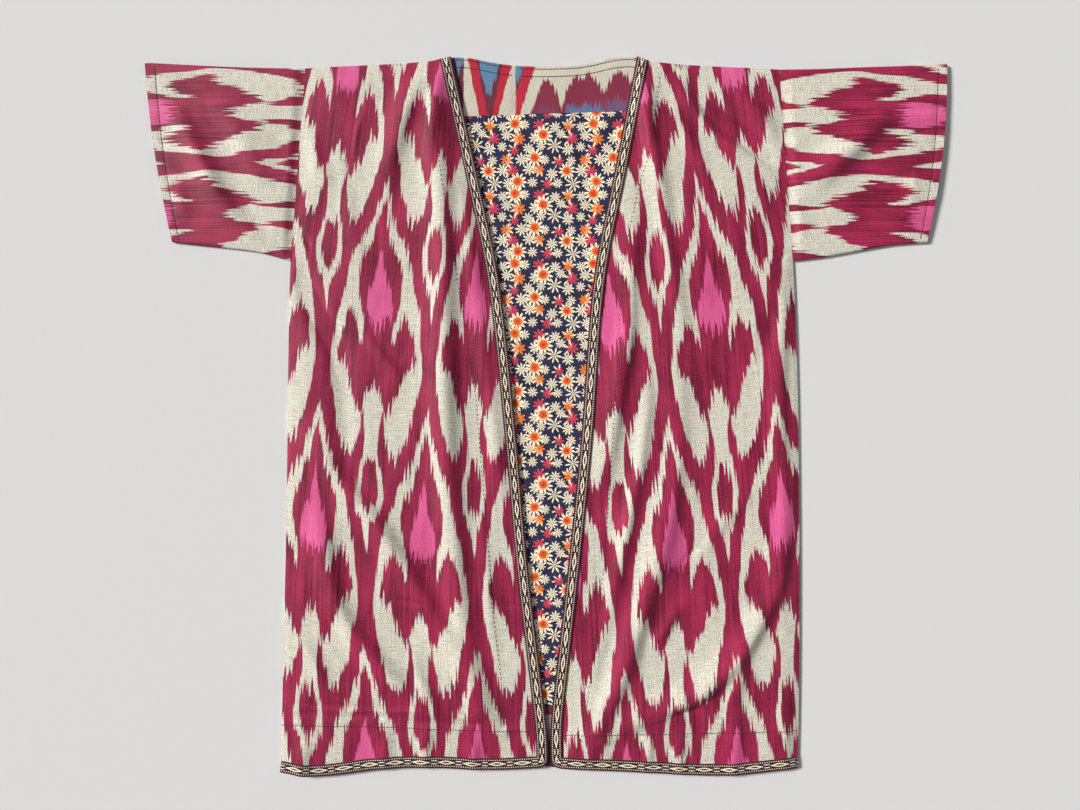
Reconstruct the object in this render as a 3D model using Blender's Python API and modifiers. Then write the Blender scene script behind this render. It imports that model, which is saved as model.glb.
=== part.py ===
"""An Uzbek chapan, an open-fronted robe of ikat cloth, laid flat on its back.

The robe lies on the plane z = 0 with its neck towards +Y. The back panel and the flattened sleeves rest
on that plane. The lining and the facings lie on the back panel, the two fronts lie over them, and the
braid lies on the edges of the fronts. Left and right are the wearer's: the right front is on the -X side.
Lengths are in millimetres until a point is made, which is in metres.
"""

import math
from collections import namedtuple

import bmesh
import bpy

MM = 0.001

# Cloth and trim
SEAM_GAP = 0.3
BACK_WALL = 1.5
LINING_WALL = 1.0
FRONT_WALL = 1.5
SLEEVE_WALL = 1.2
BRAID_WALL = 1.0
BRAID_WIDTH = 14.5

# Levels of the undersides of the layers
LINING_LEVEL = BACK_WALL + SEAM_GAP
FRONT_LEVEL = LINING_LEVEL + LINING_WALL + SEAM_GAP
SEAM_LEVEL = BACK_WALL + SEAM_GAP

# How far the layers in the opening run on under the fronts
UNDERLAP = 18
# A front comes down to the back panel over this distance from its side seam and its shoulder
SEAM_SLOPE = 26
# The front stays on the facing for this distance from the opening, and comes down over the same again
OPENING_SHELF = 30

# The sleeves are flattened tubes, this thick along their folded edges and this much more in the middle
SLEEVE_EDGE = 4.4
SLEEVE_CROWN = 1.4

# The body's outline, up from the hem: where its two side edges are
Side = namedtuple("Side", "y right left")
SIDES = [
    Side(-458, -338, 320),
    Side(-300, -334, 322.5),
    Side(-107, -330, 322),
    Side(60, -328, 319.5),
    Side(197, -325, 314),
    Side(320, -316, 305),
    Side(442, -306, 297),
]
BODY_FOOT_Y, BODY_HEAD_Y = -458, 456

# The free edges of the two fronts, up from the hem, which leave a long V open down to it
Opening = namedtuple("Opening", "y right left")
OPENINGS = [
    Opening(-458, 2.3, 6.3),
    Opening(-430, 2.3, 6.2),
    Opening(-405, 1.6, 5.6),
    Opening(-382, -0.7, 6.6),
    Opening(-348, -4.6, 10.6),
    Opening(-183, -24, 29),
    Opening(-30, -37.5, 44.5),
    Opening(173, -59.7, 60.5),
    Opening(300, -86, 85),
    Opening(456, -121, 116),
]

# The hem's lower edge, from the right side seam to the left one
Hem = namedtuple("Hem", "x y")
HEM = [
    Hem(-338, -453),
    Hem(-292, -457.45),
    Hem(-210, -448),
    Hem(-151, -446),
    Hem(-69, -449),
    Hem(1, -446),
    Hem(9, -447),
    Hem(120, -452),
    Hem(227, -456),
    Hem(319, -447),
]

# The upper edge: shoulder, sagging back neckline, shoulder
Top = namedtuple("Top", "x y")
TOP = [
    Top(-306, 442.3),
    Top(-274, 444.3),
    Top(-215, 447),
    Top(-173, 449.4),
    Top(-147, 451),
    Top(-124, 456.3),
    Top(-97, 456),
    Top(-71, 450.4),
    Top(-44, 446.6),
    Top(-8, 444.7),
    Top(30, 445.7),
    Top(56, 448.6),
    Top(81, 454.7),
    Top(105, 457.9),
    Top(117, 456.6),
    Top(132, 451.2),
    Top(157, 448.6),
    Top(208, 445.2),
    Top(259, 443),
    Top(297, 441),
]

# Each sleeve from armhole to cuff: the ends of its two folded edges, and how far it bows out between them
Sleeve = namedtuple("Sleeve", "share top_x top_y under_x under_y bow")
RIGHT_SLEEVE = [
    Sleeve(0.0, -306, 442.3, -325, 197, 0),
    Sleeve(0.25, -356, 443, -363, 208, 0),
    Sleeve(0.5, -406, 444.5, -400, 213, 0.6),
    Sleeve(0.75, -456, 447, -438, 217, 1.8),
    Sleeve(1.0, -509.7, 449.7, -475, 221, 4),
]
LEFT_SLEEVE = [
    Sleeve(0.0, 297, 441, 314.4, 197.5, 0),
    Sleeve(0.25, 350, 441.8, 356, 202.5, 0),
    Sleeve(0.5, 402, 444, 399, 210.5, 1),
    Sleeve(0.75, 455, 445.6, 441, 217.6, 3),
    Sleeve(1.0, 509.7, 448, 484, 220.5, 6.5),
]

# The largest folds: soft ridges from start to end, each with its reach to either side and its height
Fold = namedtuple("Fold", "start_x start_y end_x end_y reach height")
FOLDS = [
    # down the right front, from its neck point to the hem beside the opening
    Fold(-141, 425, -134, 310, 17, 4.4),
    Fold(-134, 310, -128, 60, 17, 5.2),
    Fold(-128, 60, -109, -230, 17, 5.0),
    Fold(-109, -230, -68, -386, 15, 3.8),
    Fold(-168, 410, -203, 300, 15, 3.6),
    Fold(-103, 255, -60, -70, 10, 1.8),
    # from below the right underarm, fanning in to the foot of the opening
    Fold(-276, -55, -190, -176, 16, 4.2),
    Fold(-190, -176, -100, -332, 15, 4.6),
    Fold(-280, -165, -262, -244, 14, 4.8),
    Fold(-262, -244, -160, -362, 14, 4.4),
    # down the left front
    Fold(126, 410, 150, 250, 11, 4.2),
    Fold(150, 250, 175, 105, 11, 2.6),
    Fold(111, 225, 76, -70, 12, 3.6),
    Fold(128, 20, 96, -180, 10, 3.4),
    Fold(167, 40, 138, -204, 15, 3.4),
    Fold(138, -204, 66, -396, 15, 4.6),
    # dragged from the left shoulder, and below the left underarm
    Fold(184, 398, 256, 336, 10, 2.4),
    Fold(304, 150, 300, -60, 14, 2.4),
    Fold(312, -110, 275, -256, 15, 4.0),
    Fold(275, -256, 205, -348, 15, 4.8),
    Fold(205, -348, 92, -398, 14, 4.2),
    # short flutes that run out at the hem
    Fold(-306, -415, -310, -452, 10, 2.0),
    Fold(-205, -400, -206, -440, 9, 1.8),
    Fold(304, -375, 310, -448, 10, 2.2),
]
SLEEVE_FOLDS = [
    Fold(-466, 378, -428, 306, 15, 4.6),
    Fold(-428, 306, -362, 218, 14, 4.2),
    Fold(-408, 388, -370, 318, 18, 2.4),
    Fold(436, 388, 358, 312, 17, 4.8),
    Fold(470, 320, 463, 262, 9, 1.4),
]

# Lower edge of the facing inside the back neck, from the right front to the left one
FACING_RIGHT_Y = 381
FACING_LEFT_Y = 389
FACING_REACH_X = 120
FACING_SEAM_X = -39
# Levels of the seams below the lining, down the back at the bottom of the opening
LINING_FOOT_Y = -369
RED_STRIP_FOOT_Y = -380

# Panels' divisions, across and along
BACK_CELLS = (36, 8)
FRONT_CELLS = (18, 30)
LINING_CELLS = (6, 18)
FACING_CELLS = (5, 3)
HEM_FACING_CELLS = (3, 3)
SLEEVE_CELLS = 8
SLEEVE_UPPER_POINTS = 12
SLEEVE_LOWER_POINTS = 7


def smooth_value(rows, key, column, at):
    """The column's value at `at`, on a smooth curve through the rows, which rise in `key`."""
    keys = [getattr(row, key) for row in rows]
    values = [getattr(row, column) for row in rows]
    at = min(max(at, keys[0]), keys[-1])
    below = max(n for n in range(len(rows) - 1) if keys[n] <= at)

    def slope(n):
        before, after = max(n - 1, 0), min(n + 1, len(rows) - 1)
        return (values[after] - values[before]) / (keys[after] - keys[before])

    span = keys[below + 1] - keys[below]
    t = (at - keys[below]) / span
    rise = values[below + 1] - values[below]
    start, end = slope(below) * span, slope(below + 1) * span
    return values[below] + t * start + t * t * (3 * rise - 2 * start - end) + t**3 * (start + end - 2 * rise)


def mix(low, high, share):
    return low + (high - low) * share


def soft_step(value):
    """0 up to 0 and 1 from 1, with a soft rise between them."""
    value = min(max(value, 0), 1)
    return value * value * (3 - 2 * value)


def ridge_height(folds, x, y):
    """The height of the highest fold at a point of the cloth."""
    height = 0
    for fold in folds:
        run_x, run_y = fold.end_x - fold.start_x, fold.end_y - fold.start_y
        share = ((x - fold.start_x) * run_x + (y - fold.start_y) * run_y) / (run_x**2 + run_y**2)
        share = min(max(share, 0), 1)
        distance = math.hypot(x - fold.start_x - share * run_x, y - fold.start_y - share * run_y)
        height = max(height, fold.height * math.exp(-((distance / fold.reach) ** 2)))
    return height


def hem_y(x):
    return smooth_value(HEM, "x", "y", x)


def top_y(x):
    return smooth_value(TOP, "x", "y", x)


def side_x(hand, y):
    return smooth_value(SIDES, "y", hand, y)


def opening_x(hand, y):
    return smooth_value(OPENINGS, "y", hand, y)


def facing_foot_y(x):
    share = (x + FACING_REACH_X) / (2 * FACING_REACH_X)
    return mix(FACING_RIGHT_Y, FACING_LEFT_Y, share)


def nominal_y(share):
    """A height up the body, for reading the side edges before the row's own height is known."""
    return mix(BODY_FOOT_Y, BODY_HEAD_Y, share)


def front_level(hand, x, y):
    """The underside of a front: on the facing beside the opening, and down on the back panel at its seams."""
    from_side = abs(x - side_x(hand, y))
    from_shoulder = top_y(x) - y
    from_opening = abs(x - opening_x(hand, y))
    raised = soft_step(min(from_side, from_shoulder) / SEAM_SLOPE)
    shelf = 1 - soft_step(from_opening / OPENING_SHELF - 1)
    level = mix(SEAM_LEVEL, FRONT_LEVEL, max(raised, shelf))
    return level + raised * ridge_height(FOLDS, x, y)


def material(name, red, green, blue, roughness):
    """A matt cloth finish, from the colour's display values out of 255."""
    made = bpy.data.materials.new(name)
    made.use_nodes = True
    shader = made.node_tree.nodes["Principled BSDF"]
    linear = [(value / 255) ** 2.2 for value in (red, green, blue)]
    shader.inputs["Base Color"].default_value = (*linear, 1)
    shader.inputs["Roughness"].default_value = roughness
    shader.inputs["Metallic"].default_value = 0
    made.diffuse_color = (*linear, 1)
    return made


def cloth(name, cells, place, wall, finish, collection, tube=False):
    """A panel: a grid of cells whose point (column, row) goes to place(column, row), with its wall added.

    A flat panel's wall grows upwards from its underside. A tube's first and last columns meet, and its
    wall grows inwards.
    """
    columns, rows = cells
    mesh = bpy.data.meshes.new(name)
    grid = bmesh.new()
    bmesh.ops.create_grid(grid, x_segments=columns, y_segments=rows, size=1)
    for vertex in grid.verts:
        column = round((vertex.co.x + 1) / 2 * columns)
        row = round((vertex.co.y + 1) / 2 * rows)
        vertex.co = [value * MM for value in place(column, row)]
    if tube:
        bmesh.ops.remove_doubles(grid, verts=grid.verts, dist=0.01 * MM)
        bmesh.ops.recalc_face_normals(grid, faces=grid.faces)
    grid.to_mesh(mesh)
    grid.free()
    mesh.materials.append(finish)
    mesh.shade_smooth()
    panel = bpy.data.objects.new(name, mesh)
    collection.objects.link(panel)
    shell = panel.modifiers.new("cloth wall", "SOLIDIFY")
    shell.thickness = wall * MM
    shell.offset = -1 if tube else 1
    return panel


def make_back(finish, collection):
    columns, rows = BACK_CELLS

    def place(column, row):
        up = row / rows
        y = nominal_y(up)
        x = mix(side_x("right", y), side_x("left", y), column / columns)
        return x, mix(hem_y(x), top_y(x), up), 0

    cloth("back_panel", BACK_CELLS, place, BACK_WALL, finish, collection)


def front_point(hand, column, row):
    """A point of a front's underside. Column 0 is the side seam and row 0 the hem.

    The last column but one and the row after the hem run along the inner edge of the braid.
    """
    columns, rows = FRONT_CELLS
    inward = 1 if hand == "right" else -1
    up = 0 if row == 0 else (row - 1) / (rows - 1)
    y = nominal_y(up)
    # Each pass reads the edges nearer to the point's own height.
    for _ in range(3):
        edge = opening_x(hand, y)
        if column == columns:
            x = edge
        else:
            x = mix(side_x(hand, y), edge - inward * BRAID_WIDTH, column / (columns - 1))
        y = hem_y(x) if row == 0 else mix(hem_y(x) + BRAID_WIDTH, top_y(x), up)
    return x, y, front_level(hand, x, y)


def make_front(hand, finish, collection):
    columns = FRONT_CELLS[0]

    def place(column, row):
        # The columns run towards +X on both fronts, so that both face up.
        return front_point(hand, column if hand == "right" else columns - column, row)

    cloth(f"{hand}_front_panel", FRONT_CELLS, place, FRONT_WALL, finish, collection)


def make_braids(hand, finish, collection):
    """The braid up the opening's edge and the one along the hem, from the front's own points, moved up."""
    columns, rows = FRONT_CELLS
    lift = FRONT_WALL + SEAM_GAP

    def raised(column, row, shift_y=0):
        x, y, z = front_point(hand, column if hand == "right" else columns - column, row)
        return x, y + shift_y, z + lift

    def place_edge(column, row):
        first = columns - 1 if hand == "right" else 0
        return raised(first + column, row + 1, SEAM_GAP if row == 0 else 0)

    cloth(f"{hand}_edge_braid", (1, rows - 1), place_edge, BRAID_WALL, finish, collection)
    cloth(f"{hand}_hem_braid", (columns, 1), raised, BRAID_WALL, finish, collection)


def make_inner_layer(name, cells, left_side, right_side, foot, head, finish, collection):
    """A piece of lining or facing on the back panel, between two side curves and two ends."""
    columns, rows = cells

    def place(column, row):
        up = row / rows
        y = mix(foot(0), head(0), up)
        x = mix(left_side(y), right_side(y), column / columns)
        return x, mix(foot(x), head(x), up), LINING_LEVEL

    cloth(name, cells, place, LINING_WALL, finish, collection)


def make_inside(finishes, collection):
    """The layers that show in the opening: neck facings, lining and hem facings."""

    def right_edge(y):
        return opening_x("right", y) - UNDERLAP

    def left_edge(y):
        return opening_x("left", y) + UNDERLAP

    make_inner_layer(
        "neck_facing_right", FACING_CELLS, right_edge, lambda y: FACING_SEAM_X, facing_foot_y,
        lambda x: top_y(x) - SEAM_GAP, finishes["striped_ikat"], collection,
    )
    make_inner_layer(
        "neck_facing_left", FACING_CELLS, lambda y: FACING_SEAM_X + SEAM_GAP, left_edge, facing_foot_y,
        lambda x: top_y(x) - SEAM_GAP, finishes["pale_ikat"], collection,
    )
    make_inner_layer(
        "back_lining", LINING_CELLS, right_edge, left_edge, lambda x: LINING_FOOT_Y,
        lambda x: facing_foot_y(x) - SEAM_GAP, finishes["floral_calico"], collection,
    )
    make_inner_layer(
        "hem_facing_strip", HEM_FACING_CELLS, right_edge, left_edge, lambda x: RED_STRIP_FOOT_Y,
        lambda x: LINING_FOOT_Y - SEAM_GAP, finishes["red_cotton"], collection,
    )
    make_inner_layer(
        "hem_facing", HEM_FACING_CELLS, right_edge, left_edge, lambda x: hem_y(x) + SEAM_GAP,
        lambda x: RED_STRIP_FOOT_Y - SEAM_GAP, finishes["pale_ikat"], collection,
    )


def sleeve_section(table, share):
    """The closed section of a sleeve at a share of its length: over the top and back below."""
    top = [smooth_value(table, "share", column, share) for column in ("top_x", "top_y")]
    under = [smooth_value(table, "share", column, share) for column in ("under_x", "under_y")]
    bow = smooth_value(table, "share", "bow", share) * (1 if top[0] > 0 else -1)
    depth = math.dist(top, under)
    radius = SLEEVE_EDGE / 2

    def across(distance, z):
        """A point of the section at a distance down from its top edge."""
        x = mix(top[0], under[0], distance / depth) + bow * math.sin(math.pi * distance / depth)
        return x, mix(top[1], under[1], distance / depth), z

    points = [across(0, radius)]
    for n in range(SLEEVE_UPPER_POINTS):
        part = n / (SLEEVE_UPPER_POINTS - 1)
        x, y, z = across(mix(radius, depth - radius, part), SLEEVE_EDGE)
        crown = math.sin(math.pi * part) ** 0.6
        points.append((x, y, z + crown * (SLEEVE_CROWN + ridge_height(SLEEVE_FOLDS, x, y))))
    points.append(across(depth, radius))
    for n in range(SLEEVE_LOWER_POINTS):
        part = n / (SLEEVE_LOWER_POINTS - 1)
        points.append(across(mix(depth - radius, radius, part), 0))
    return points


def make_sleeve(hand, table, finish, collection):
    outward = -1 if hand == "right" else 1
    sections = [sleeve_section(table, row / SLEEVE_CELLS) for row in range(SLEEVE_CELLS + 1)]
    around = len(sections[0])

    def place(column, row):
        x, y, z = sections[row][column % around]
        return x + outward * SEAM_GAP, y, z

    cloth(f"{hand}_sleeve", (around, SLEEVE_CELLS), place, SLEEVE_WALL, finish, collection, tube=True)


def main():
    for old in list(bpy.data.objects):
        bpy.data.objects.remove(old, do_unlink=True)
    collection = bpy.data.collections.new("uzbek_chapan_robe")
    bpy.context.scene.collection.children.link(collection)
    finishes = {
        "crimson_ikat": material("crimson_ikat", 150, 44, 74, 0.62),
        "striped_ikat": material("striped_ikat", 160, 60, 70, 0.7),
        "pale_ikat": material("pale_ikat", 190, 175, 158, 0.7),
        "floral_calico": material("floral_calico", 74, 68, 92, 0.78),
        "red_cotton": material("red_cotton", 112, 20, 30, 0.75),
        "patterned_braid": material("patterned_braid", 78, 44, 46, 0.6),
    }
    make_back(finishes["crimson_ikat"], collection)
    make_inside(finishes, collection)
    for hand, table in (("right", RIGHT_SLEEVE), ("left", LEFT_SLEEVE)):
        make_front(hand, finishes["crimson_ikat"], collection)
        make_braids(hand, finishes["patterned_braid"], collection)
        make_sleeve(hand, table, finishes["crimson_ikat"], collection)


main()
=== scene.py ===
"""Looks of an Uzbek chapan of crimson ikat, laid flat: its cloth, folds, figures, braid and stitching.

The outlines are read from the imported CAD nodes. Cloth coordinates, kept in each piece's UV map "cloth", are
metres across and along the warp, so that the woven figures bend with the cloth as it hangs.
Lengths in tables are millimetres. Left and right are the wearer's: the right front is on the -X side.
"""

import functools
import math
from collections import namedtuple

import bpy
import numpy as np
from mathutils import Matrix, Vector


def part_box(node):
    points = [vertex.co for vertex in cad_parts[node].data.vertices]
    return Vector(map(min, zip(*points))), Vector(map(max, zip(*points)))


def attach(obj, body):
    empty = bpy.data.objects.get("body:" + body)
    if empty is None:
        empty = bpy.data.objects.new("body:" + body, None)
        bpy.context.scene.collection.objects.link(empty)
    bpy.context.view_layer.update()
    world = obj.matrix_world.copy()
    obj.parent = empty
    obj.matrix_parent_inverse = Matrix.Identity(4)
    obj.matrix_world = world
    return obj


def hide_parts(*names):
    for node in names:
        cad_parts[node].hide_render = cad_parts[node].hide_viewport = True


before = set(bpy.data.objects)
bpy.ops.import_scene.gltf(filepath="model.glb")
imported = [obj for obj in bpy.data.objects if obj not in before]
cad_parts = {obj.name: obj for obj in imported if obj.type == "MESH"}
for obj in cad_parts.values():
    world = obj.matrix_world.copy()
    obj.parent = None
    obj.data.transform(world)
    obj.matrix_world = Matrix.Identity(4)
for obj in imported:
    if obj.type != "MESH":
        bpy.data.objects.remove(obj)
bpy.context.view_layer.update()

MM = 0.001
TINY = 1e-9
HANDS = ("right", "left")
PANEL_GAP = 0.3 * MM


# ---- numbers

def mix(low, high, share):
    return low + (high - low) * share


def soft_step(value):
    value = np.clip(value, 0, 1)
    return value * value * (3 - 2 * value)


NOISE_CELLS = 64
NOISE_SHIFT = 1000


def lattice_noise(x, y, size, seed):
    """Smooth noise from -1 to 1 over points in metres, whose lumps are about `size` millimetres."""
    table = np.random.RandomState(seed).uniform(-1, 1, (NOISE_CELLS, NOISE_CELLS))
    x, y = x / (size * MM) + NOISE_SHIFT, y / (size * MM) + NOISE_SHIFT
    column, row = np.floor(x).astype(int), np.floor(y).astype(int)
    right, up = soft_step(x - column), soft_step(y - row)

    def corner(columns_on, rows_on):
        return table[(row + rows_on) % NOISE_CELLS, (column + columns_on) % NOISE_CELLS]

    return mix(mix(corner(0, 0), corner(1, 0), right), mix(corner(0, 1), corner(1, 1), right), up)


# Noise that ripples a cloth: how far its lumps are drawn out along the warp (1 is round), their size in
# millimetres, the seed, and how high they stand in millimetres
Ripple = namedtuple("Ripple", "squeeze size seed height")


def rippled(ripples, x, y):
    return sum(lattice_noise(x, y * row.squeeze, row.size, row.seed) * row.height for row in ripples)


# ---- outlines of the CAD nodes

class Edge:
    """One edge of a CAD node, as a function: where it is on one level axis, at a place on the other one."""

    STATIONS = 160
    SMOOTHING = 7

    def __init__(self, node, along, start, end, highest):
        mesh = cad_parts[node].data
        points = np.array([vertex.co for vertex in mesh.vertices])
        first, second = (points[[edge.vertices[n] for edge in mesh.edges]] for n in (0, 1))
        self.keys = np.linspace(start, end, self.STATIONS)
        across = 1 - along
        found = []
        for key in self.keys:
            before, after = first[:, along] - key, second[:, along] - key
            cut = (before * after <= 0) & (before != after)
            share = before[cut] / (before[cut] - after[cut])
            places = mix(first[cut, across], second[cut, across], share)
            found.append(places.max() if highest else places.min())
        smoothed = self.smooth(found)
        # The second pass puts back what smoothing took off the curve's bends.
        self.values = smoothed + self.smooth(np.array(found) - smoothed)

    def smooth(self, values):
        reach = self.SMOOTHING // 2
        steps = np.arange(1, reach + 1)
        before = values[0] - (values[1] - values[0]) * steps[::-1]
        after = values[-1] + (values[-1] - values[-2]) * steps
        kernel = np.ones(self.SMOOTHING) / self.SMOOTHING
        return np.convolve(np.concatenate([before, values, after]), kernel, "valid")

    def __call__(self, key):
        """The edge's place, carried on in a straight line past its two ends."""
        inside = np.interp(key, self.keys, self.values)
        step = self.keys[1] - self.keys[0]
        under = (key - self.keys[0]) * (self.values[1] - self.values[0]) / step
        over = (key - self.keys[-1]) * (self.values[-1] - self.values[-2]) / step
        return inside + np.where(key < self.keys[0], under, 0) + np.where(key > self.keys[-1], over, 0)


class Front:
    """The outline of one front: its side seam, its free edge, its hem and its shoulder."""

    MARGIN = 16 * MM
    CORNER_GAP = 3 * MM

    def __init__(self, hand):
        node = f"{hand}_front_panel"
        low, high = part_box(node)
        self.foot, self.head = low.y, high.y
        heights = (low.y + self.MARGIN, high.y - self.MARGIN)
        rightward = hand == "left"
        self.side = Edge(node, 1, *heights, rightward)
        self.opening = Edge(node, 1, *heights, not rightward)
        self.shoulder, self.hem = (self.crossing(node, y, y == high.y) for y in (high.y, low.y))

    def crossing(self, node, y, highest):
        """The edge that runs from the side seam to the free edge at about a height."""
        start, end = sorted((float(self.side(y)), float(self.opening(y))))
        return Edge(node, 0, start + self.CORNER_GAP, end - self.CORNER_GAP, highest)


FRONTS = {hand: Front(hand) for hand in HANDS}
BACK_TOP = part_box("back_panel")[1].z
LINING_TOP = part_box("back_lining")[1].z
BRAID_WIDTH = 14.5 * MM
FRONT_WALL = 1.5 * MM
# The scene's walls are a little thinner than the CAD's, which leaves room below them for what they lie on.
FRONT_THINNER, INNER_THINNER = 0.8, 0.7


# ---- folds

# A fold of the cloth is a soft ridge along a path, or a trough where its heights are below 0. Its reach is
# its half width on the viewer's left and right of the path. Path rows are x, y and height, from the top down.
Fold = namedtuple("Fold", "left right path")
FOLDS = [
    # The right front: beside the opening, from the neck to the hem
    Fold(20, 14, [(-140, 444, 0.5), (-138, 405, 3.2), (-136, 340, 4.6), (-132, 270, 5), (-129, 190, 5.2),
        (-128, 100, 5.4), (-128, 10, 5.4), (-123, -80, 5.2), (-116, -160, 5), (-109, -230, 4.8),
        (-97, -300, 4.2), (-80, -355, 3), (-60, -405, 0.8)]),
    Fold(7, 9, [(-137, 434, 0.5), (-141, 395, 2), (-146, 355, 2), (-151, 310, 0.4)]),
    Fold(18, 12, [(-156, 440, 0.5), (-179, 385, 4.2), (-192, 342, 3.6), (-203, 290, 1.6),
        (-212, 240, 0.4)]),
    Fold(12, 8, [(-113, 320, 0.2), (-103, 255, 1.5), (-92, 195, 1.8), (-84, 130, 1.6), (-76, 62, 1.7),
        (-67, 0, 1.8), (-60, -70, 1.5), (-54, -130, 0.3)]),
    Fold(8, 6, [(-84, -120, 0.2), (-76, -190, 1.1), (-70, -260, 1.0), (-60, -330, 0.2)]),
    # The right front: from the underarm
    Fold(13, 15, [(-320, 198, -1), (-305, 160, -4), (-289, 126, -4.6), (-272, 95, -4), (-261, 60, -2.8),
        (-257, 18, -2), (-256, -30, -1.6), (-259, -70, -0.3)]),
    Fold(11, 5, [(-232, 110, 0.3), (-215, 86, 1.3), (-196, 62, 1.3), (-180, 40, 0.3)]),
    Fold(14, 9, [(-312, 380, 0.3), (-296, 340, 1.5), (-284, 312, 1.5), (-268, 290, 0.3)]),
    Fold(10, 8, [(-262, 330, 0.3), (-250, 270, 1.2), (-240, 210, 0.8), (-236, 160, 0.2)]),
    # The right front: fanning up from the foot of the opening
    Fold(20, 12, [(-288, 10, 0.4), (-276, -55, 2.8), (-255, -90, 3.6), (-232, -116, 4.2), (-211, -143, 4.6),
        (-190, -176, 4.8), (-172, -202, 5), (-157, -227, 4.8), (-143, -252, 4.2), (-129, -277, 3.4),
        (-114, -303, 2.8), (-100, -332, 2.4), (-87, -362, 1.8), (-74, -394, 0.4)]),
    Fold(16, 12, [(-286, -120, 0.4), (-280, -165, 3.6), (-273, -208, 5), (-262, -244, 5), (-246, -272, 4.8),
        (-229, -294, 4.6), (-211, -316, 4.2), (-194, -334, 3.8), (-177, -350, 3.2), (-158, -364, 2.6),
        (-138, -380, 1.8), (-118, -396, 0.5)]),
    Fold(12, 8, [(-316, -278, 0.3), (-300, -302, 1.8), (-288, -325, 2), (-282, -352, 0.6)]),
    Fold(9, 8, [(-170, -300, 0.2), (-163, -325, 1.6), (-152, -350, 2), (-135, -372, 1.2),
        (-120, -385, 0.2)]),
    # The left front: from the neck to the hem, beside the opening
    Fold(11, 11, [(124, 424, 0.8), (128, 385, 4.6), (133, 350, 5), (139, 318, 4.2), (146, 288, 3),
        (150, 250, 2.8), (154, 218, 2.8), (159, 186, 2.6), (165, 156, 2.2), (172, 120, 1.6),
        (180, 90, 0.4)]),
    Fold(15, 9, [(114, 270, 0.3), (112, 225, 1.8), (109, 190, 2.8), (107, 150, 2.6), (106, 118, 3),
        (103, 88, 3.8), (98, 58, 4), (94, 28, 4), (89, -2, 3.6), (84, -32, 3), (79, -62, 2.2),
        (72, -95, 0.5)]),
    Fold(10, 9, [(126, 70, 0.3), (128, 20, 2), (124, -22, 2.4), (119, -62, 2.8), (111, -102, 3.6),
        (103, -142, 4), (96, -180, 3.6), (88, -218, 2.4), (78, -260, 1.4), (64, -310, 1.4),
        (52, -370, 0.4)]),
    Fold(18, 12, [(158, 110, 0.3), (166, 50, 1.6), (170, 0, 2), (169, -40, 2.4), (164, -82, 3),
        (157, -122, 3.4), (149, -162, 3.6), (138, -204, 4.2), (126, -244, 4.4), (113, -282, 4.6),
        (101, -318, 4.6), (87, -352, 4.4), (73, -382, 3.8), (60, -410, 2.6), (50, -434, 1)]),
    # The left front: dragged from the shoulder and the neck
    Fold(9, 17, [(180, 428, -0.4), (200, 392, -2.8), (221, 371, -4.6), (247, 354, -4.6), (274, 334, -3.8),
        (294, 318, -1.8), (306, 308, -0.4)]),
    Fold(10, 8, [(160, 432, 0.3), (184, 398, 2.2), (203, 378, 2.6), (222, 361, 2.4), (242, 345, 1.8),
        (266, 328, 0.4)]),
    Fold(12, 9, [(240, 424, 0.3), (258, 398, 1.8), (278, 380, 2), (300, 356, 0.4)]),
    Fold(10, 9, [(156, 396, 0.3), (174, 364, 1.5), (188, 338, 1.5), (204, 306, 0.3)]),
    Fold(14, 8, [(222, 288, 0.3), (233, 252, 1.4), (242, 214, 1.2), (248, 176, 0.2)]),
    Fold(9, 9, [(294, 156, -0.3), (285, 110, -1.4), (276, 76, -0.3)]),
    Fold(16, 10, [(308, 182, 0.3), (304, 118, 2.4), (300, 58, 2.6), (297, 0, 2.4), (302, -60, 2.4),
        (309, -108, 0.6)]),
    # The left front: fanning up from the foot of the opening
    Fold(20, 10, [(314, -80, 0.4), (311, -130, 2.6), (304, -180, 3.6), (291, -224, 4), (275, -256, 4.4),
        (258, -286, 4.6), (241, -311, 4.8), (222, -333, 4.8), (200, -352, 4.8), (170, -368, 4.8),
        (140, -381, 4.4), (110, -391, 3), (80, -404, 0.8)]),
    Fold(10, 6, [(176, -238, 0.3), (158, -262, 1.8), (146, -280, 2.4), (138, -298, 0.4)]),
    Fold(12, 8, [(262, -96, 0.3), (236, -124, 1.3), (212, -152, 1.2), (196, -184, 0.2)]),
    Fold(9, 8, [(250, -300, 0.3), (248, -326, 2.4), (240, -352, 2), (236, -378, 0.4)]),
    Fold(10, 9, [(244, -384, 0.4), (242, -404, 2.4), (240, -430, 2), (238, -452, 1.4)]),
    # Short flutes that run out at the hem
    Fold(10, 9, [(-306, -404, 0.3), (-308, -430, 2.2), (-310, -456, 2)]),
    Fold(10, 8, [(-204, -390, 0.3), (-205, -412, 2), (-206, -440, 1.6)]),
    Fold(9, 8, [(-150, -388, 0.3), (-152, -410, 2.2), (-154, -440, 1.6)]),
    Fold(8, 7, [(-92, -404, 0.3), (-92, -424, 2), (-93, -444, 1.4)]),
    Fold(8, 7, [(132, -404, 0.3), (130, -424, 1.8), (128, -446, 1.2)]),
    Fold(8, 8, [(174, -398, 0.3), (170, -420, 1.8), (168, -446, 1.4)]),
    Fold(10, 9, [(300, -350, 0.3), (306, -384, 2.2), (308, -420, 2), (310, -450, 1.6)]),
]
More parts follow.
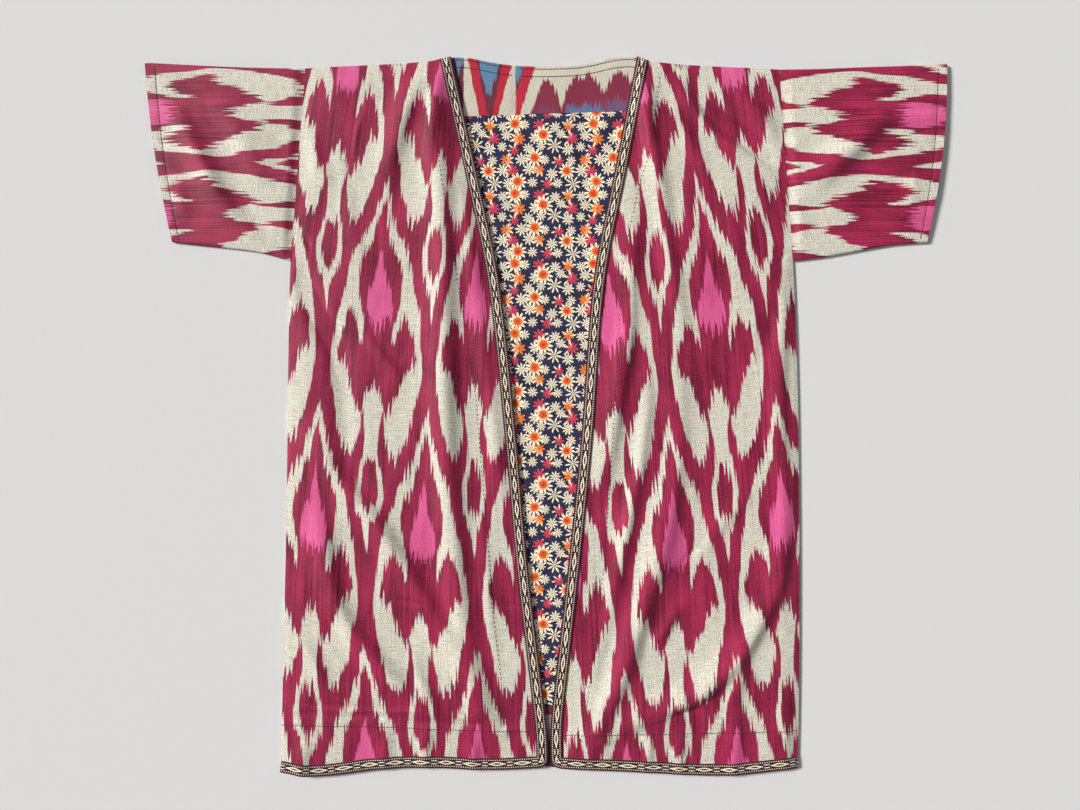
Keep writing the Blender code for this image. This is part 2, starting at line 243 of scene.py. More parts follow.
# Narrow creases, pressed in when the robe was folded away, and the drawn line of the hem facing's stitches
CREASES = [
    Fold(3, 5, [(-326, -384, -0.3), (-300, -378, -1.5), (-262, -384, -1.3), (-226, -381, -1.5),
        (-190, -388, -0.3)]),
    Fold(4, 3, [(-240, -372, 0.2), (-206, -376, 1.2), (-170, -374, 1.2), (-140, -379, 0.2)]),
    Fold(3, 4, [(-178, -392, -0.2), (-140, -388, -1.3), (-104, -392, -1.3), (-72, -388, -0.2)]),
    Fold(4, 3, [(-60, -404, 0.2), (-44, -398, 1.3), (-26, -400, 0.2)]),
    Fold(3, 5, [(120, -388, -0.2), (152, -380, -1.5), (190, -374, -1.3), (230, -378, -0.2)]),
    Fold(4, 4, [(60, -420, 0.2), (84, -410, 1.2), (112, -414, 0.2)]),
    Fold(3.5, 4, [(-322, -365, -0.3), (-290, -367, -1.2), (-250, -369, -1.3), (-214, -372, -0.3)]),
    Fold(3, 3, [(-202, -231, -0.2), (-176, -235, -0.8), (-150, -238, -0.2)]),
    Fold(3, 3, [(-70, -240, -0.2), (-52, -241, -0.8), (-34, -241, -0.2)]),
    Fold(3, 3.5, [(-244, 330, 0.2), (-240, 358, 0.9), (-232, 386, 0.2)]),
    Fold(4, 4, [(-262, -112, -0.2), (-244, -116, -0.7), (-226, -112, -0.2)]),
    Fold(3, 4, [(114, -396, -0.3), (150, -388, -1.0), (196, -368, -0.9), (222, -352, -0.2)]),
    Fold(3, 4, [(206, -152, -0.2), (180, -178, -0.8), (152, -212, -0.2)]),
    Fold(4, 4, [(262, 338, -0.2), (232, 356, -1.0), (204, 378, -0.2)]),
    Fold(3, 3, [(-318, 236, -0.3), (-306, 226, -1.2), (-298, 208, -0.3)]),
    Fold(3, 3, [(312, 216, -0.3), (302, 200, -1.2), (290, 190, -0.3)]),
]
SLEEVE_FOLDS = [
    Fold(18, 13, [(-474, 396, 0.4), (-459, 366, 3.2), (-444, 338, 4.6), (-432, 314, 5.2), (-420, 290, 5.2),
        (-408, 270, 4.8), (-394, 250, 4.4), (-379, 234, 3.8), (-362, 218, 2.6), (-346, 206, 0.8)]),
    Fold(16, 26, [(-424, 412, 0.4), (-398, 374, 2.6), (-381, 340, 2.8), (-366, 312, 2), (-352, 290, 0.4)]),
    Fold(8, 8, [(-352, 256, 0.2), (-346, 240, 1.2), (-340, 222, 0.3)]),
    Fold(7, 7, [(-340, 262, 0.2), (-333, 240, 1.0), (-328, 222, 0.3)]),
    Fold(9, 8, [(-470, 300, 0.2), (-462, 272, 1.4), (-458, 246, 0.3)]),
    Fold(20, 14, [(444, 396, 0.4), (427, 378, 4), (408, 360, 5.2), (391, 342, 5.4), (374, 326, 5.2),
        (357, 311, 3.6), (342, 296, 1.6), (330, 280, 0.4)]),
    Fold(12, 12, [(400, 250, 0.3), (410, 238, 1.4), (424, 226, 0.4)]),
    Fold(9, 8, [(470, 330, 0.2), (466, 290, 1.4), (462, 256, 0.3)]),
    Fold(9, 9, [(322, 258, 0.2), (326, 238, 1.3), (330, 222, 0.3)]),
]
FOLD_GAIN = 1.4
FIELD_STEP = 2 * MM
FIELD_EDGE = 0.53
PATH_SAMPLES = 16
FIELD_MARGIN = 2.5


def smooth_path(rows):
    """Many points along a smooth curve through the rows of a path."""
    rows = np.array(rows, float) * MM
    padded = np.concatenate([2 * rows[:1] - rows[1:2], rows, 2 * rows[-1:] - rows[-2:-1]])
    share = np.linspace(0, 1, PATH_SAMPLES, endpoint=False)[:, None]
    pieces = []
    for before, start, end, after in zip(padded, padded[1:], padded[2:], padded[3:]):
        bend = 2 * before - 5 * start + 4 * end - after
        twist = 3 * start - before - 3 * end + after
        pieces.append(start + 0.5 * share * ((end - before) + share * (bend + share * twist)))
    return np.concatenate(pieces + [rows[-1:]])


def fold_field(folds):
    """A grid over the robe of the heights in metres that folds add."""
    places = np.arange(-FIELD_EDGE, FIELD_EDGE, FIELD_STEP)
    field = np.zeros((len(places), len(places)))
    for fold in folds:
        path = smooth_path(fold.path)
        run = np.gradient(path[:, :2], axis=0)
        run /= np.linalg.norm(run, axis=1)[:, None]
        left, right = fold.left * MM, fold.right * MM
        margin = FIELD_MARGIN * max(left, right)
        low = np.searchsorted(places, path[:, :2].min(0) - margin)
        high = np.searchsorted(places, path[:, :2].max(0) + margin)
        x, y = np.meshgrid(places[low[0]:high[0]], places[low[1]:high[1]])
        from_path = np.stack([x, y], axis=-1)[..., None, :] - path[:, :2]
        nearest = (from_path**2).sum(axis=-1).argmin(axis=-1)
        away = np.take_along_axis(from_path, nearest[..., None, None], axis=2)[..., 0, :]
        direction = run[nearest]
        beside = direction[..., 0] * away[..., 1] - direction[..., 1] * away[..., 0]
        beyond = (direction * away).sum(axis=-1)
        reach = np.where(beside > 0, right, left)
        shape = np.exp(-((beside / reach) ** 2) - (beyond / ((left + right) / 2)) ** 2)
        field[low[1]:high[1], low[0]:high[0]] += FOLD_GAIN * path[nearest, 2] * shape
    return field


def field_height(field, x, y):
    """A field's height at points, in straight lines between the points of its grid."""
    column, row = (x + FIELD_EDGE) / FIELD_STEP, (y + FIELD_EDGE) / FIELD_STEP
    left = np.clip(np.floor(column).astype(int), 0, len(field) - 2)
    low = np.clip(np.floor(row).astype(int), 0, len(field) - 2)
    right, up = column - left, row - low
    return mix(mix(field[low, left], field[low, left + 1], right),
               mix(field[low + 1, left], field[low + 1, left + 1], right), up)


FRONT_FIELD = fold_field(FOLDS + CREASES)
SLEEVE_FIELD = fold_field(SLEEVE_FOLDS)


# ---- meshes

RIM_ANGLE = math.radians(50)


def add_object(name, data):
    made = bpy.data.objects.new(name, data)
    bpy.context.scene.collection.objects.link(made)
    return made


def cloth_piece(name, points, cloth, wall, material, tube=False):
    """A thin shell of cloth on a grid of points, with its cloth coordinates.

    The grid is the upper face, and the wall grows away from it. A tube's last column meets its first one.
    """
    rows, columns = points.shape[:2]
    across = columns if tube else columns - 1
    row, column = np.meshgrid(np.arange(rows - 1), np.arange(across), indexing="ij")
    after = (column + 1) % columns
    corners = [(row, column), (row, after), (row + 1, after), (row + 1, column)]
    quads = np.stack([row_at * columns + column_at for row_at, column_at in corners], axis=-1).reshape(-1, 4)
    mesh = bpy.data.meshes.new(name)
    mesh.from_pydata(points.reshape(-1, 3).tolist(), [], quads.tolist())
    layer = mesh.uv_layers.new(name="cloth")
    layer.data.foreach_set("uv", cloth.reshape(-1, 2)[quads.reshape(-1)].astype(np.float32).reshape(-1))
    mesh.materials.append(material)
    mesh.shade_smooth()
    mesh.update()
    piece = add_object(name, mesh)
    shell = piece.modifiers.new("cloth wall", "SOLIDIFY")
    shell.thickness = wall
    shell.offset = -1
    # The wall is made part of the mesh so that its rim can be shaded as a sharp edge.
    walled = bpy.data.meshes.new_from_object(piece.evaluated_get(bpy.context.evaluated_depsgraph_get()))
    walled.name = name
    piece.modifiers.clear()
    piece.data = walled
    bpy.data.meshes.remove(mesh)
    walled.set_sharp_from_angle(angle=RIM_ANGLE)
    return piece


def plan_area(points):
    """The area of a grid of points as laid flat, in square metres."""
    flat = points[..., :2]
    first, second = flat[1:, 1:] - flat[:-1, :-1], flat[1:, :-1] - flat[:-1, 1:]
    return float(np.abs(first[..., 0] * second[..., 1] - first[..., 1] * second[..., 0]).sum() / 2)


def finish_piece(piece, slot, *nodes):
    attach(piece, "root")
    if nodes:
        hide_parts(*nodes)
    return piece


# ---- node trees

class Term:
    """A number in a node tree. Arithmetic on it adds Math nodes, with the operators below too."""

    def __init__(self, net, socket):
        self.net = net
        self.socket = socket

    def __abs__(self):
        return self.net.maths("ABSOLUTE", self)

    def __rsub__(self, other):
        return self.net.maths("SUBTRACT", other, self)


def add_operator(symbol, operation):
    setattr(Term, f"__{symbol}__", lambda term, other: term.net.maths(operation, term, other))


OPERATORS = {"add": "ADD", "sub": "SUBTRACT", "mul": "MULTIPLY", "truediv": "DIVIDE", "pow": "POWER"}
for pair in OPERATORS.items():
    add_operator(*pair)


class Net:
    """Builds a node tree from short expressions."""

    def __init__(self, tree):
        self.tree = tree

    def feed(self, socket, value):
        if isinstance(value, Term):
            value = value.socket
        if isinstance(value, bpy.types.NodeSocket):
            self.tree.links.new(value, socket)
        else:
            socket.default_value = value

    def add(self, kind, settings=None, inputs=None):
        node = self.tree.nodes.new(kind)
        for key, value in (settings or {}).items():
            setattr(node, key, value)
        for key, value in (inputs or {}).items():
            self.feed(node.inputs[key], value)
        return node

    def maths(self, operation, *values, clamp=False):
        node = self.add("ShaderNodeMath", {"operation": operation, "use_clamp": clamp})
        for socket, value in zip(node.inputs, values):
            self.feed(socket, value)
        return Term(self, node.outputs[0])

    def raised(self, value, lift):
        """The value plus a lift, kept within 0 and 1."""
        return self.maths("ADD", value, lift, clamp=True)

    def wrap(self, value, half):
        """The value brought within a half repeat either side of 0."""
        return self.maths("WRAP", value, half, -half)

    def larger(self, first, second):
        return self.maths("MAXIMUM", first, second)

    def smaller(self, first, second):
        return self.maths("MINIMUM", first, second)

    def inside(self, width, distance, edge):
        """1 where distance is under width, falling to 0 at it over the length of an edge."""
        return self.maths("DIVIDE", self.maths("SUBTRACT", width, distance), edge, clamp=True)

    def vector(self, x, y, z=0.0):
        node = self.add("ShaderNodeCombineXYZ", None, {"X": x, "Y": y, "Z": z})
        return node.outputs[0]

    def cloth_place(self):
        """The place on the cloth in millimetres, across and along the warp."""
        place = self.add("ShaderNodeUVMap", {"uv_map": "cloth"})
        parts = self.add("ShaderNodeSeparateXYZ", None, {"Vector": place.outputs[0]})
        return Term(self, parts.outputs[0]) * (1 / MM), Term(self, parts.outputs[1]) * (1 / MM)

    def noise(self, x, y, detail=2.0, roughness=0.5):
        """Noise round 0, mostly within 0.5 either way, whose lumps are one unit of x and y."""
        node = self.add("ShaderNodeTexNoise", {"noise_dimensions": "2D"},
                        {"Vector": self.vector(x, y), "Scale": 1.0, "Detail": detail, "Roughness": roughness})
        return (Term(self, node.outputs[0]) - 0.5) * 2

    def curve(self, share, rows, length, height):
        """A smooth curve through the rows, each a place up to length and a value up to height."""
        node = self.add("ShaderNodeFloatCurve", None, {"Value": share})
        curve = node.mapping.curves[0]
        places = [(0, rows[0][1])] + list(rows) if rows[0][0] > 0 else list(rows)
        if places[-1][0] < length:
            places.append((length, places[-1][1]))
        while len(curve.points) < len(places):
            curve.points.new(0.5, 0.5)
        for point, (place, value) in zip(curve.points, places):
            point.location = (place / length, value / height)
            point.handle_type = "VECTOR"
        node.mapping.update()
        return Term(self, node.outputs[0]) * height

    def mix(self, share, first, second):
        node = self.add("ShaderNodeMix", {"data_type": "RGBA"})
        self.feed(node.inputs[0], share)
        self.feed(node.inputs[6], first)
        self.feed(node.inputs[7], second)
        return node.outputs[2]

    def shade(self, share, ends):
        """Between two colours, each given by its display values."""
        return self.mix(share, *(colour(*end) for end in ends))


def colour(red, green, blue):
    """A colour from its display values out of 255."""
    def linear(value):
        value /= 255
        return value / 12.92 if value <= 0.04045 else ((value + 0.055) / 1.055) ** 2.4

    return linear(red), linear(green), linear(blue), 1.0


SHEEN_ROUGHNESS = 0.45


def new_material(name, roughness, sheen=0.25, specular=0.3):
    """A cloth material: its net and its shader. What is the same all over is set on the shader itself."""
    material = bpy.data.materials.new(name)
    material.use_nodes = True
    shader = material.node_tree.nodes["Principled BSDF"]
    for key, value in (("Roughness", roughness), ("Specular IOR Level", specular), ("Sheen Weight", sheen),
                       ("Sheen Roughness", SHEEN_ROUGHNESS)):
        shader.inputs[key].default_value = value
    return material, Net(material.node_tree), shader


WARP_SHARE = 0.4


def weave_height(across, along, warp_pitch, weft_pitch):
    """Threads of a plain weave as a height from 0 to 1: warp threads with weft ribs across them."""
    warp = abs(across.net.maths("SINE", across * (math.pi / warp_pitch)))
    weft = abs(across.net.maths("SINE", along * (math.pi / weft_pitch)))
    return warp * WARP_SHARE + weft * (1 - WARP_SHARE)


def finish_cloth(net, shader, made, height, depth):
    """Gives a shader its colour, and a height from 0 to 1 as a bump of some depth in metres."""
    net.feed(shader.inputs["Base Color"], made)
    bump = net.add("ShaderNodeBump", None, {"Height": height, "Strength": 1.0, "Distance": depth})
    net.feed(shader.inputs["Normal"], bump.outputs[0])


# ---- the ikat

# One figure of the ikat, as half widths at distances down the warp from the tip of its cream arch.
PERIOD = 595
COLUMN_PITCH = 140
FIGURE_REACH = 64
IKAT_FIGURE = {
    "arch": [(0, 0), (10, 3), (23, 6), (46, 11.5), (71, 20), (90, 29), (110, 38), (132, 43), (155, 48),
        (170, 52), (182, 54), (198, 55.5), (217, 58.5), (239, 61), (254, 60.5), (268, 59), (287, 55),
        (303, 51.5), (320, 48), (336, 44), (345, 40.5), (356, 34), (364, 0)],
    "leaf": [(24, 0), (46, 5.5), (71, 9.5), (90, 15), (110, 25), (132, 29), (155, 27.5), (170, 24),
        (182, 20), (198, 19), (217, 19), (236, 19), (238, 0)],
    "heart_inner": [(180, 36), (190, 28.5), (198, 25.5), (217, 19.5), (224, 0)],
    "heart_outer": [(180, 36), (188, 42), (198, 46), (217, 51), (236, 53.5), (242, 46), (246, 40),
        (254, 37.5), (268, 33.5), (282, 29), (295, 24.5), (302, 19), (306, 0)],
    "stem": [(256, 0), (262, 2.5), (268, 4.5), (281, 10.5), (293, 13.5), (300, 15), (305, 12), (320, 10),
        (337, 9.3), (352, 9.5), (362, 12), (368, 14), (385, 16.3), (399, 18.5), (417, 17), (433, 11),
        (447, 5), (464, 3), (487, 0)],
    "wedge": [(298, 0), (300, 15.2), (305, 15.3), (320, 16), (337, 19.5), (345, 21.5), (359, 25.5),
        (364, 34), (367, 60), (380, 60), (382, 0)],
    "eye": [(354, 0), (361, 5), (368, 8.3), (385, 10.8), (399, 11.5), (417, 9), (429, 3), (434, 0)],
    "flame": [(90, 0), (110, 4.5), (126, 7.3), (142, 12.2), (159, 16.5), (175, 17.4), (184, 16),
        (188, 0)],
}
DYE_EDGE = 1.1
# Bundles of warp threads lie a little up or down, which feathers the ends of each colour: how wide a bundle
# is, how long it keeps its place, and how far it moves
BUNDLES = ((2.7, 200, 23), (1.1, 150, 9))
CRIMSON = ((82, 2, 30), (174, 42, 82))
MAGENTA = ((184, 66, 116), (228, 104, 156))
LINEN = ((156, 148, 130), (238, 234, 218))


def ikat_figure(net, across, along):
    """Where a figure is cream, and where it is magenta, from 0 to 1."""
    half = abs(across)
    share = along / PERIOD

    def within(name):
        return net.inside(net.curve(share, IKAT_FIGURE[name], PERIOD, FIGURE_REACH), half, DYE_EDGE)

    stem = within("stem")
    heart = within("heart_outer") * (1 - within("heart_inner"))
    wedge = within("wedge") * (1 - stem)
    arch = within("arch") * (1 - within("leaf")) * (1 - heart) * (1 - wedge)
    return net.larger(arch, stem * (1 - within("eye"))), within("flame")


def make_ikat(name):
    """Crimson warp ikat: figures in columns, each column half a period from the next, with feathered ends."""
    material, net, shader = new_material(name, roughness=0.55, sheen=0.08, specular=0.22)
    across, along = net.cloth_place()
    moved = along
    for width, length, reach in BUNDLES:
        moved = moved + net.noise(across / width, along / length, 1.0) * reach
    drift = net.noise(across / 60, along / 90, 1.0) * 3
    figures = []
    for shift in (0, 0.5):
        column = net.wrap(across + drift - shift * COLUMN_PITCH, COLUMN_PITCH / 2)
        row = net.maths("WRAP", moved + shift * PERIOD, PERIOD, 0)
        figures.append(ikat_figure(net, column, row))
    cream, flame = (net.larger(*pair) for pair in zip(*figures))
    streaks = net.noise(across / 1.6, along / 150, 2.0, 0.6)
    clouds = net.noise(across / 22, along / 70, 2.0)
    speckle = net.noise(across / 1.5, along / 1.1, 1.0, 0.6) + net.noise(across / 14, along / 1.4, 1.0) * 0.4
    depth = net.raised(streaks * 0.62 + clouds * 0.5 + speckle * 0.4, 0.5)
    weft = net.raised(speckle * 0.95 + streaks * 0.3, 0.5)
    dyed = net.mix(flame, net.shade(depth, CRIMSON), net.shade(depth, MAGENTA))
    made = net.mix(cream, dyed, net.shade(weft, LINEN))
    finish_cloth(net, shader, made, weave_height(across, along, 0.9, 1.3) + speckle * 0.5, 0.16 * MM)
    return material


# ---- other cloths

# One repeat of the calico, as a chart with a letter for each flower: B a full one with an orange heart, o an
# orange star, c a coral star, d a daisy and s a long-petalled star. Every other row is moved half a place on.
CALICO_CHART = ("Bdcdod", "dodBdc", "cdsdBd", "dBdcdo", "dcdodB", "sddcdd")
CALICO_WIDTH, CALICO_HEIGHT = 100, 89
FLOWER_SCATTER = 0.24
DYES = {"cream": (250, 240, 212), "yellow": (244, 186, 104), "orange": (240, 128, 48), "coral": (214, 62, 82),
        "rust": (234, 92, 40), "brown": (190, 96, 40), "dark_red": (178, 44, 26)}
NAVY = ((20, 18, 36), (48, 48, 84))
# What is printed on the navy, the lowest first. Petals are pointed, and `sided` ones show on one side of the
# flower only. A heart is a disc whose radius varies by its lumps.
Petals = namedtuple("Petals", "kind dye count length half_width turned sided")
Heart = namedtuple("Heart", "kind dye radius lumps edge")
CALICO_LAYERS = (
    Petals("s", "cream", 8, 9.2, 1.25, 0.0, False),
    Heart("s", "yellow", 1.5, 0, 0.6),
    Petals("c", "cream", 7, 11.0, 1.6, 0.4, True),
    Petals("o", "cream", 8, 11.5, 1.6, 0.3, True),
    Petals("d", "cream", 9, 7.6, 1.3, 0.0, False),
    Heart("d", "yellow", 1.7, 0, 0.6),
    Petals("c", "coral", 8, 7.4, 1.6, 0.0, False),
    Petals("o", "orange", 8, 8.2, 1.8, 0.0, False),
    Heart("o", "brown", 1.6, 0, 0.6),
    Petals("B", "cream", 11, 11.0, 1.8, 0.0, False),
    Heart("B", "yellow", 6.0, 1.6, 0.6),
    Heart("B", "rust", 5.2, 1.8, 1.0),
    Heart("B", "dark_red", 2.2, 4, 1.0),
)


def calico_places(kind):
    """The places of the flowers of a kind in one repeat, each with an angle that it is turned by."""
    chance = np.random.RandomState(7)
    places = []
    for row, letters in enumerate(CALICO_CHART):
        for column, letter in enumerate(letters):
            move_x, move_y, turn = chance.uniform(-1, 1, 3)
            if letter == kind:
                x = (column + (row % 2) / 2 + FLOWER_SCATTER * move_x) * CALICO_WIDTH / len(letters)
                y = (row + FLOWER_SCATTER * move_y) * CALICO_HEIGHT / len(CALICO_CHART)
                places.append((x, y, turn * math.pi))
    return places


class Flowers:
    """Polar coordinates round the nearest flower of a kind."""

    # Half a repeat, each way. The third number only has to be larger than any turn.
    HALF = (CALICO_WIDTH / 2, CALICO_HEIGHT / 2, 9)

    def __init__(self, net, cloth, kind):
        self.net = net
        nearest = distance = None
        for x, y, turn in calico_places(kind):
            offset = self.vector_maths("SUBTRACT", cloth, (x, y, -turn))[0]
            offset = self.vector_maths("WRAP", offset, self.HALF, [-half for half in self.HALF])[0]
            flat = self.vector_maths("MULTIPLY", offset, (1, 1, 0))[0]
            reach = Term(net, self.vector_maths("LENGTH", flat)["Value"])
            if nearest is None:
                nearest, distance = offset, reach
                continue
            chosen = net.add("ShaderNodeMix", {"data_type": "VECTOR"})
            for number, value in ((0, net.maths("LESS_THAN", reach, distance)), (4, nearest), (5, offset)):
                net.feed(chosen.inputs[number], value)
            nearest, distance = chosen.outputs[1], net.smaller(distance, reach)
        parts = net.add("ShaderNodeSeparateXYZ", None, {"Vector": nearest})
        x, y, turn = (Term(net, part) for part in parts.outputs)
        # Flowers of a kind differ a little in size, by how far they are turned.
        self.radius = distance * (net.maths("SINE", turn * 5) * 0.14 + 1)
        self.angle = net.maths("ARCTAN2", y, x) + turn

    def vector_maths(self, operation, *values):
        node = self.net.add("ShaderNodeVectorMath", {"operation": operation})
        for socket, value in zip(node.inputs, values):
            self.net.feed(socket, value)
        return node.outputs

    def petals(self, row):
        """Pointed petals, each widest beyond its middle."""
        net = self.net
        share = net.maths("MULTIPLY", self.radius, 1 / row.length, clamp=True)
        beside = abs(net.wrap(self.angle + row.turned, math.pi / row.count)) * self.radius
        width = share * ((1 - share) ** 0.6) * (2.5 * row.half_width)
        shape = net.inside(width, beside, 0.45)
        return shape * net.maths("GREATER_THAN", net.maths("SINE", self.angle), -0.1) if row.sided else shape

    def heart(self, row, lumps):
        return self.net.inside(lumps * row.lumps + row.radius, self.radius, row.edge)


def make_calico(name):
    """Printed cotton: daisies in cream, orange and coral, thickly strewn on navy."""
    material, net, shader = new_material(name, roughness=0.8, sheen=0.1, specular=0.2)
    across, along = net.cloth_place()
    cloth = net.vector(across + net.noise(across / 7, along / 7, 1.0) * 0.8,
                       along + net.noise(along / 7, across / 7, 1.0) * 0.8)
    flowers = {kind: Flowers(net, cloth, kind) for kind in "scodB"}
    lumps = net.noise(across / 1.9, along / 1.9, 1.0)
    made = net.shade(net.raised(net.noise(across / 16, along / 16) * 0.7, 0.5), NAVY)
    for row in CALICO_LAYERS:
        kind = flowers[row.kind]
        shape = kind.petals(row) if isinstance(row, Petals) else kind.heart(row, lumps)
        made = net.mix(shape, made, colour(*DYES[row.dye]))
    faded = net.raised(net.noise(across, along, 1.0) * 0.3, 0.02)
    made = net.mix(faded, made, colour(120, 106, 108))
    finish_cloth(net, shader, made, weave_height(across, along, 0.6, 0.6), 0.12 * MM)
    return material


# Stripes of the neck facings: x at the neckline of a stripe's two sides, and at the facing's foot, with the
# later ones over the earlier ones. The facing is 64 mm deep.
Stripe = namedtuple("Stripe", "dye top_left top_right foot_left foot_right")
FACING_DEPTH = 64
FACING_DYES = {"red": (184, 20, 50), "blue": (88, 128, 160), "maroon": (104, 28, 46),
               "cream": (204, 198, 178), "burgundy": (128, 34, 60), "foot_blue": (84, 116, 160)}
STRIPED_FACING = [
    Stripe("maroon", -130, -104, -118, -104.5),
    Stripe("blue", -117, -104, -106, -122),
    Stripe("red", -100, -43, -87, -60),
    Stripe("maroon", -89, -55, -76, -67),
    Stripe("blue", -87, -58, -70, -78),
]
PALE_FACING = [
    Stripe("red", -38.5, -13, -39, -33),
    Stripe("maroon", -38.5, -27, -39, -46),
    Stripe("blue", -38.5, -27, -47, -54),
]
# Peaks of the pale facing: x and the depth below the neckline of each tip, half the peak's width at the foot,
# and how blue its foot is. A peak's half width grows as a power of the distance from its tip.
Peak = namedtuple("Peak", "x depth half_width blue")
PALE_PEAKS = [Peak(2, 16, 23, 0.15), Peak(40, 13, 25, 0.9), Peak(55, 12, 26, 0.9), Peak(94, 17, 30, 0.4)]
PEAK_POWER = 0.58
# How deep the blue is at a peak's foot, and its share of the peak's width
BLUE_FOOT, BLUE_SHARE = 14, 0.75


def peak_shapes(net, across, depth, peak):
    """Where a peak is burgundy, and where it is blue at its foot."""
    slope = peak.half_width / (FACING_DEPTH - peak.depth) ** PEAK_POWER
    width = (net.larger(depth - peak.depth, 0.0) ** PEAK_POWER) * slope
    beside = abs(across - peak.x)
    foot = net.inside(depth, FACING_DEPTH - BLUE_FOOT, BLUE_FOOT / 2) * peak.blue
    return net.inside(width, beside, 2.0), net.inside(width * BLUE_SHARE, beside, 6.0) * foot


def make_facing_cloth(name, stripes, peaks):
    """Ikat of a neck facing. Its cloth place is x, and minus the depth below the neckline."""
    material, net, shader = new_material(name, roughness=0.7)
    across, along = net.cloth_place()
    depth = along * -1 + net.noise(across / 2.4, along / 90, 1.0) * 11
    share = net.maths("DIVIDE", depth, FACING_DEPTH)
    sideways = across + net.noise(along / 9, across / 30, 1.0) * 0.8
    made = colour(*FACING_DYES["cream"])
    for stripe in stripes:
        left = share * (stripe.foot_left - stripe.top_left) + stripe.top_left
        right = share * (stripe.foot_right - stripe.top_right) + stripe.top_right
        within = net.inside(net.smaller(sideways - left, right - sideways), 0, 1.0)
        made = net.mix(within, made, colour(*FACING_DYES[stripe.dye]))
    shapes = [peak_shapes(net, across, depth, peak) for peak in peaks]
    for dye, places in zip(("burgundy", "foot_blue"), zip(*shapes)):
        made = net.mix(functools.reduce(net.larger, places), made, colour(*FACING_DYES[dye]))
    grain = net.raised(net.noise(across, along / 4.0, 2.0) * 0.5, 0.04)
    made = net.mix(grain, made, colour(84, 50, 56))
    finish_cloth(net, shader, made, weave_height(across, along, 0.8, 1.0), 0.15 * MM)
    return material


# How far below the hem facing's top it is pale, and over what length it darkens
HEM_PALE, HEM_FADE = 10, 24


def make_hem_ikat(name):
    """Grey-cream ikat that turns darker towards the hem, down to a dark crimson."""
    material, net, shader = new_material(name, roughness=0.7)
    across, along = net.cloth_place()
    down = along * -1 - HEM_PALE + net.noise(across / 2.0, along / 60, 1.0) * 8
    made = net.shade(net.maths("DIVIDE", down, HEM_FADE, clamp=True), ((150, 148, 150), (66, 20, 34)))
    grain = net.raised(net.noise(across / 0.9, along / 3.0, 2.0) * 0.6, 0.2)
    made = net.mix(grain, made, colour(50, 40, 46))
    finish_cloth(net, shader, made, weave_height(across, along, 0.8, 1.0), 0.15 * MM)
    return material


def make_red_cotton(name):
    material, net, shader = new_material(name, roughness=0.75)
    across, along = net.cloth_place()
    made = net.shade(net.raised(net.noise(across, along / 5.0, 2.0), 0.5), ((84, 10, 22), (128, 22, 34)))
    finish_cloth(net, shader, made, weave_height(across, along, 0.7, 0.7), 0.12 * MM)
    return material


# The braid's woven figures, in millimetres: a chain of slit lozenges joined by pairs of dashes, between two
# rows of dots. A lens is half as wide at its middle as its width, and narrows to its length by a power.
LINK = 32.4
LOZENGE_HALF, LENS_LENGTH, LENS_WIDTH, LENS_POWER, TIP_WIDTH = 11.4, 8.6, 1.7, 1.7, 1.0
SLIT_LENGTH, SLIT_WIDTH = 6.6, 1.15
DASH_LINE, DASH_HALF, DASH_LENGTH = 1.9, 0.75, 3.9
DOT_PITCH, DOT_LINE, DOT_RADIUS = 2.9, 4.7, 0.95
CENTRE_HALF = 3.7


def make_braid(name):
    """Woven braid: a cream chain of slit lozenges and paired dashes, between two rows of dots, on maroon."""
    material, net, shader = new_material(name, roughness=0.6)
    across, along = net.cloth_place()
    side = abs(across)
    place = abs(net.wrap(along + net.noise(along / 40, 0.0, 1.0) * 2, LINK / 2))
    # A lozenge is a lens whose ends run out into solid tips.
    lens = net.larger(1 - (place / LENS_LENGTH) ** LENS_POWER, 0.0) * LENS_WIDTH + TIP_WIDTH
    lozenge = net.inside(lens, side, 0.35) * net.inside(LOZENGE_HALF, place, 0.5)
    slit = net.inside(net.larger(1 - (place / SLIT_LENGTH) ** 2.0, 0.0) * SLIT_WIDTH, side, 0.35)
    dashes = net.inside(DASH_HALF, abs(side - DASH_LINE), 0.3)
    dashes = dashes * net.inside(DASH_LENGTH, LINK / 2 - place, 0.4)
    beat = abs(net.wrap(along, DOT_PITCH / 2))
    dots = net.inside(DOT_RADIUS, net.maths("SQRT", beat * beat + (side - DOT_LINE) ** 2.0), 0.4)
    chain = net.larger(lozenge * (1 - slit), dashes)
    thread = net.raised(net.noise(across / 0.5, along / 0.9, 1.0), 0.5)
    ground = net.shade(net.inside(CENTRE_HALF, side, 0.5), ((50, 9, 22), (26, 8, 12)))
    made = net.mix(chain, ground, net.shade(thread, ((236, 212, 176), (255, 242, 214))))
    made = net.mix(dots, made, net.shade(thread, ((232, 192, 178), (252, 230, 216))))
    height = net.larger(chain, dots) + weave_height(across, along, 0.5, 0.5) * 0.4
    finish_cloth(net, shader, made, height, 0.3 * MM)
    return material


# ---- cloth places

